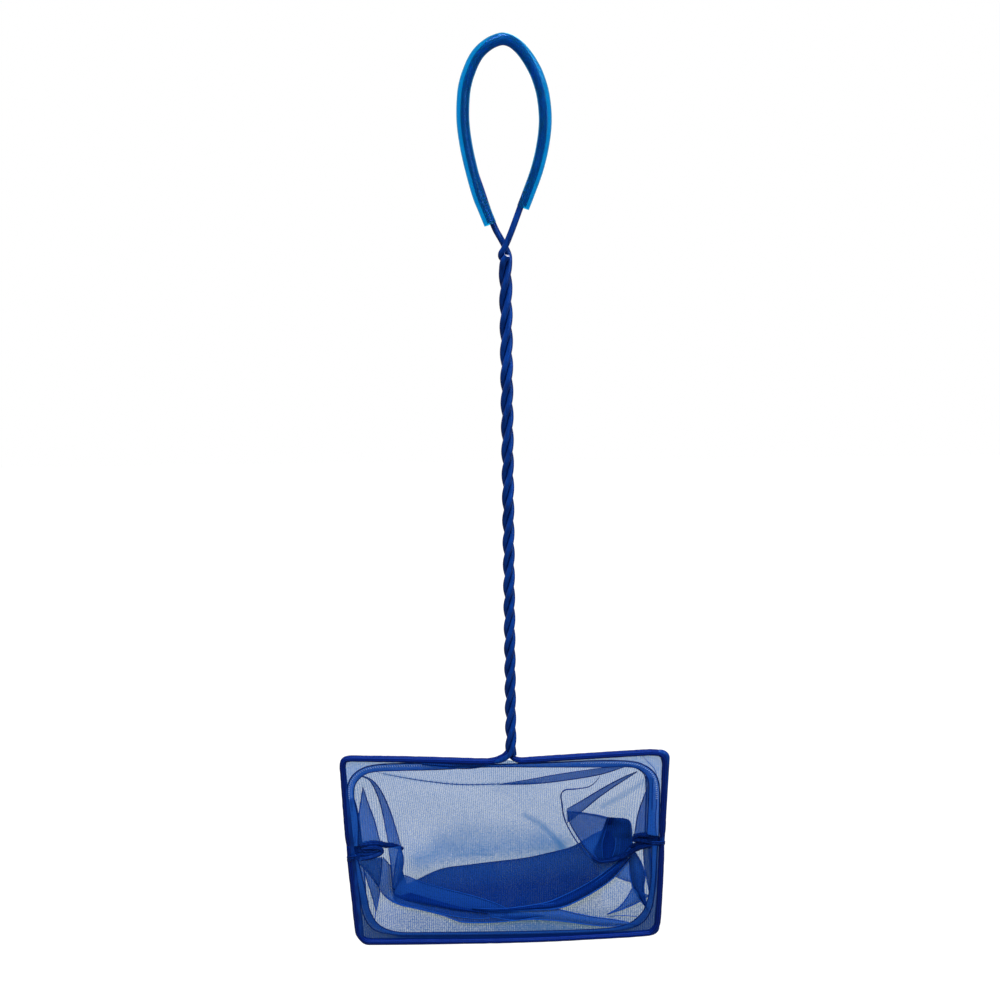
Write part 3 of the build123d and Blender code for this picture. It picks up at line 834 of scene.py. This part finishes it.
right_pile = Pile()
for sag, seed in ((-1.5, 17), (0.3, 27)):
    cord(right_pile, [
        (652, 843.5 + sag, -1.3), (658, 843.5 + sag, -1.8), (663.2, 843.3 + sag, -0.9),
        (664, 843.2 + sag, 0.2), (662.6, 843.3 + sag, 1.2), (656, 843.5 + sag, 2.4),
    ], 0.45, seed)
cord(right_pile, [
    (664, 843.5, 1.3), (658, 845, 1.8), (650, 845.5, 3), (641, 847, 5.5), (633, 850.5, 8.6),
    (625, 855.5, 10.4), (617, 858.5, 11), (608, 861, 11.2), (600, 861.3, 12), (592, 857.5, 14),
], 1.05, 28)
cord(right_pile, [
    (663, 840, 1.4), (654, 836, 2.2), (646, 835, 4), (638, 835.3, 6.5), (634, 838, 7.5), (637, 841, 7),
], 1.0, 19)
cord(right_pile, [(630, 846, 10), (640, 843.5, 7), (649, 839.5, 3.8), (663, 840.5, 1.4)], 1.0, 20)
cord(right_pile, [(632, 840, 8), (642, 840, 5.4), (651, 842, 3), (663, 843, 1.4)], 0.95, 21)
right_piece = right_pile.build("right_ridge", [seam_cloth])
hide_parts("side_seam_right")


# Hem: mesh gathered tightly over the bars, following the wire
hem_radius = 1.25 * mm
hem_marks = {
    "hem_upper_left": [
        (348.6, 845), (345.5, 805), (343.3, 775), (342.6, 767), (344.2, 760.6), (350, 758.6), (365, 758.7),
        (420, 759.6), (480, 761.3), (489, 761.2), (495, 760.3), (500, 758.4), (504.5, 755.4), (508, 751),
    ],
    "hem_upper_right": [
        (512, 756.5), (515.5, 759), (521, 760.4), (528, 760), (540, 759.2), (600, 755.2), (640, 752.8),
        (653, 752.4), (661.5, 754), (664.8, 761), (664.6, 775), (663.5, 805), (662.3, 838),
    ],
    "hem_lower": [
        (662, 838), (660.3, 880), (658, 918), (656.4, 925.5), (652, 930.8), (645, 933), (600, 936),
        (540, 939), (480, 940.5), (420, 941), (375, 941.2), (365, 940), (360, 935.5), (357.5, 928),
        (354, 895), (348.6, 845),
    ],
}
hem_count = 240
to_nearest_end = np.minimum(np.linspace(0, 1, hem_count), np.linspace(1, 0, hem_count))
narrow_ends = np.minimum(1, 0.7 + 8 * to_nearest_end)
for name, marks in hem_marks.items():
    pile = Pile()
    path = smooth(on_photo([(*mark, 0) for mark in marks]), hem_count)
    pile.tube(path, lumpy(hem_count, hem_radius, 0.03 * mm, 19) * narrow_ends, sides=16)
    piece = pile.build(name + "_cloth", [hem_cloth])
    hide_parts(name)

# Band: mesh out to the bars, and a stitched strip of three layers along the bag's mouth. The lines
# are its outer side under the hem, the strip's outer edge and the strip's inner edge.
band_marks = {
    "hem_band_upper": (
        [(349.5, 845), (346.5, 805), (345, 785), (344, 761), (352, 760), (420, 761.2), (480, 762.8),
         (499, 761), (508, 760), (517, 761.2), (540, 760.6), (600, 757), (650, 754.4), (663, 756),
         (663, 785), (661.3, 838)],
        [(350, 846), (349.5, 820), (347.5, 800), (348.5, 783), (357, 771.5), (372, 765.5), (400, 763.5),
         (440, 763.5), (486, 764.5), (540, 763), (600, 760.5), (632, 761.5), (646, 766), (654.5, 773),
         (658.3, 781), (659.6, 792), (659.6, 805), (659, 836)],
        [(358, 846), (358, 820), (354, 797), (355.5, 784), (364, 775), (376, 771.5), (400, 770.5),
         (440, 769.5), (486, 767), (540, 767), (600, 767), (630, 767), (642, 771), (648.5, 781),
         (648.5, 800), (647, 834)],
    ),
    "hem_band_lower": (
        [(661, 846), (658, 900), (656, 922), (652.5, 930), (600, 935.5), (540, 938), (480, 939.5), (420, 940),
         (369, 939.5), (360, 934), (357.5, 920), (353.5, 890), (349.5, 850)],
        [(657.5, 846), (655.5, 880), (652.5, 905), (644, 921), (628, 928.5), (600, 931.5), (540, 933.5),
         (480, 934.5), (420, 935), (394, 934.5), (374, 929.5), (364, 916), (359.5, 895), (352.5, 852)],
        [(652, 846), (651, 880), (647, 902), (640, 915), (626, 924.5), (600, 928.8), (540, 931), (480, 932),
         (430, 932.5), (398, 932), (380, 925.5), (370.5, 912), (366, 893), (357, 856)],
    ),
}
band_count = 260
shares = np.linspace(0, 1, 6)[None, :, None]
stitch_pitch = 0.95
stitch_radius = 0.11 * mm
stitches_above_px = 800
twist_px = 512
clear_of_twist_px = 70
for name, marks_of_lines in band_marks.items():
    outer, edge, inner = [
        smooth(on_photo([(*mark, depth) for mark in marks]), band_count)
        for marks, depth in zip(marks_of_lines, (0, -0.1, 0.2))
    ]
    pile = Pile()
    sheet = outer[:, None] * (1 - shares) + edge[:, None] * shares
    sheet_px = seen_at(sheet)
    # The band's outer sheet has slightly denser mesh and thread in painted shade, both more in the middle of
    # the low band
    low_band_middle = np.exp(-((sheet_px[..., 0] - 505) / 115) ** 4) * (sheet_px[..., 1] > 900)
    pile.grid(sheet, density_and_painted_shade=0.08 + 0.17 * low_band_middle, painted_shade=0.35 + 0.25 * low_band_middle)
    # The low band has a second sheet, denser and in painted shade in its middle
    if name == "hem_band_lower":
        pile.grid(sheet + np.array([0, 0.2 * mm, 0]), density_and_painted_shade=0.25 * low_band_middle, painted_shade=0.5 * low_band_middle)
    strip = edge[:, None] * (1 - shares) + inner[:, None] * shares
    for lift in (-0.25, 0.0, 0.3):
        pile.grid(strip + np.array([0, lift * mm, 0]) * np.sin(pi * shares))
    pile.tube(edge, 0.26 * mm, sides=6, slot=2)
    pile.tube(inner, 0.22 * mm, sides=6, slot=2)
    stitch_lines = [edge * (1 - share) + inner * share + np.array([0, -0.35 * mm, 0])
                    for share in (0.2, 0.36)]
    runs = lengths_along(edge)
    for reach in np.arange(1, runs[-1] / mm - 1, stitch_pitch) * mm:
        ends = np.array([[np.interp(reach, runs, line[:, k]) for k in range(3)] for line in stitch_lines])
        x, y = seen_at(ends)[0]
        if y < stitches_above_px and abs(x - twist_px) > clear_of_twist_px:
            pile.tube(ends, stitch_radius, sides=5, slot=1)
    piece = pile.build(name + "_cloth", [band_cloth, stitch_cloth, seam_cloth])
    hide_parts(name)


# Grip tube: soft plastic round the loop, a little thinner at the top, with the wire inside it
grip_marks = [
    (490.2, 224), (484.5, 210), (478.5, 195), (471.5, 170), (466, 145), (462.9, 120), (463.5, 95),
    (466.2, 80), (469.8, 69.5), (473.2, 61.5), (478, 53.7), (484.6, 47), (492.6, 41.8),
    (502.5, 38.8), (511.5, 41.2),
    (519.5, 47.4), (526.2, 55.5), (531.6, 64), (537.5, 76), (543, 95), (545.3, 120), (542.8, 145),
    (536.9, 170), (527.9, 195), (523.1, 207.5),
]
grip_count = 220
grip_radius = 1.97 * mm
wire_radius = 1.25 * mm
wire_offset = 0.5 * mm
grip_pile = Pile()
grip_path = smooth(on_photo([(*mark, 0) for mark in grip_marks]), grip_count)
thinner_top = 1 - 0.12 * np.exp(-((np.linspace(0, 1, grip_count) - 0.52) / 0.09) ** 2)
grip_pile.tube(grip_path, grip_radius * thinner_top, sides=32, bore=0.95)
outward = np.cross(np.gradient(grip_path, axis=0), [0, 1, 0])
outward /= np.linalg.norm(outward, axis=1)[:, None]
grip_pile.tube((grip_path - wire_offset * outward)[1:-1], wire_radius, sides=24, slot=1)
grip_piece = grip_pile.build("grip_sleeve", [grip, shaded_coating])
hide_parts("grip_tube")

# Studio
sensor_width = 36
bpy.context.scene.view_settings.view_transform = "Standard"
camera_data = bpy.data.cameras.new("camera")
camera_data.sensor_width = sensor_width
camera_data.lens = focal_px / photo_px * sensor_width
camera_data.clip_start = 0.01
camera = bpy.data.objects.new("camera", camera_data)
camera.matrix_world = Matrix((
    (right[0], up[0], -forward[0], eye[0]),
    (right[1], up[1], -forward[1], eye[1]),
    (right[2], up[2], -forward[2], eye[2]),
    (0, 0, 0, 1),
))
bpy.context.scene.collection.objects.link(camera)
bpy.context.scene.camera = camera


def straight_view(tree):
    """One for rays that come straight or through clear plastic from the camera, else nought."""
    rays = tree.nodes.new("ShaderNodeLightPath")
    return math_node(tree, "MAXIMUM", rays.outputs["Is Camera Ray"], rays.outputs["Is Transmission Ray"])


world = bpy.data.worlds.new("studio")
bpy.context.scene.world = world
world.use_nodes = True
tree = world.node_tree
tree.nodes.clear()
in_view = straight_view(tree)
soft_light = add(tree, "ShaderNodeBackground", Color=(1, 1, 1, 1), Strength=0.25)
plain_white = add(tree, "ShaderNodeBackground", Color=(1, 1, 1, 1), Strength=1.0)
mixed = tree.nodes.new("ShaderNodeMixShader")
tree.links.new(in_view, mixed.inputs[0])
tree.links.new(soft_light.outputs[0], mixed.inputs[1])
tree.links.new(plain_white.outputs[0], mixed.inputs[2])
world_output = tree.nodes.new("ShaderNodeOutputWorld")
tree.links.new(mixed.outputs[0], world_output.inputs["Surface"])

# The net hangs, so the floor is well below it, and is white where it is seen
floor_drop = 60 * mm
floor_half = 0.8
floor_glow = 0.96
floor_z = cad_box[0][2] - floor_drop
floor_mesh = bpy.data.meshes.new("floor")
corners = [(side * floor_half, depth * floor_half, floor_z)
           for side, depth in ((-1, -1), (1, -1), (1, 1), (-1, 1))]
floor_mesh.from_pydata(corners, [], [(0, 1, 2, 3)])
floor = bpy.data.objects.new("floor", floor_mesh)
bpy.context.scene.collection.objects.link(floor)
floor_material, tree = new_material("floor")
lit = add(tree, "ShaderNodeBsdfDiffuse", Color=(0.12, 0.12, 0.12, 1))
glow = add(tree, "ShaderNodeEmission", Color=(1, 1, 1, 1))
tree.links.new(math_node(tree, "MULTIPLY", straight_view(tree), floor_glow), glow.inputs["Strength"])
together = tree.nodes.new("ShaderNodeAddShader")
tree.links.new(lit.outputs[0], together.inputs[0])
tree.links.new(glow.outputs[0], together.inputs[1])
finish_material(tree, together.outputs[0])
floor_mesh.materials.append(floor_material)


lamp_target = Vector((0, 0, -0.2))


def area_light(name, spot, size, power):
    """A soft square lamp that faces the net."""
    data = bpy.data.lights.new(name, "AREA")
    data.size = size
    data.energy = power
    lamp = bpy.data.objects.new(name, data)
    lamp.location = spot
    heading = lamp_target - Vector(spot)
    lamp.rotation_euler = heading.to_track_quat("-Z", "Y").to_euler()
    bpy.context.scene.collection.objects.link(lamp)


area_light("key", (-0.25, -0.75, 1.0), 0.5, 12)
area_light("fill", (0.7, -0.9, 0.1), 0.6, 3)
area_light("top", (0.0, -0.3, 1.1), 0.4, 14)
area_light("side", (0.9, -0.3, 0.5), 0.4, 4)
area_light("back", (0.3, 0.9, 0.6), 0.5, 3)
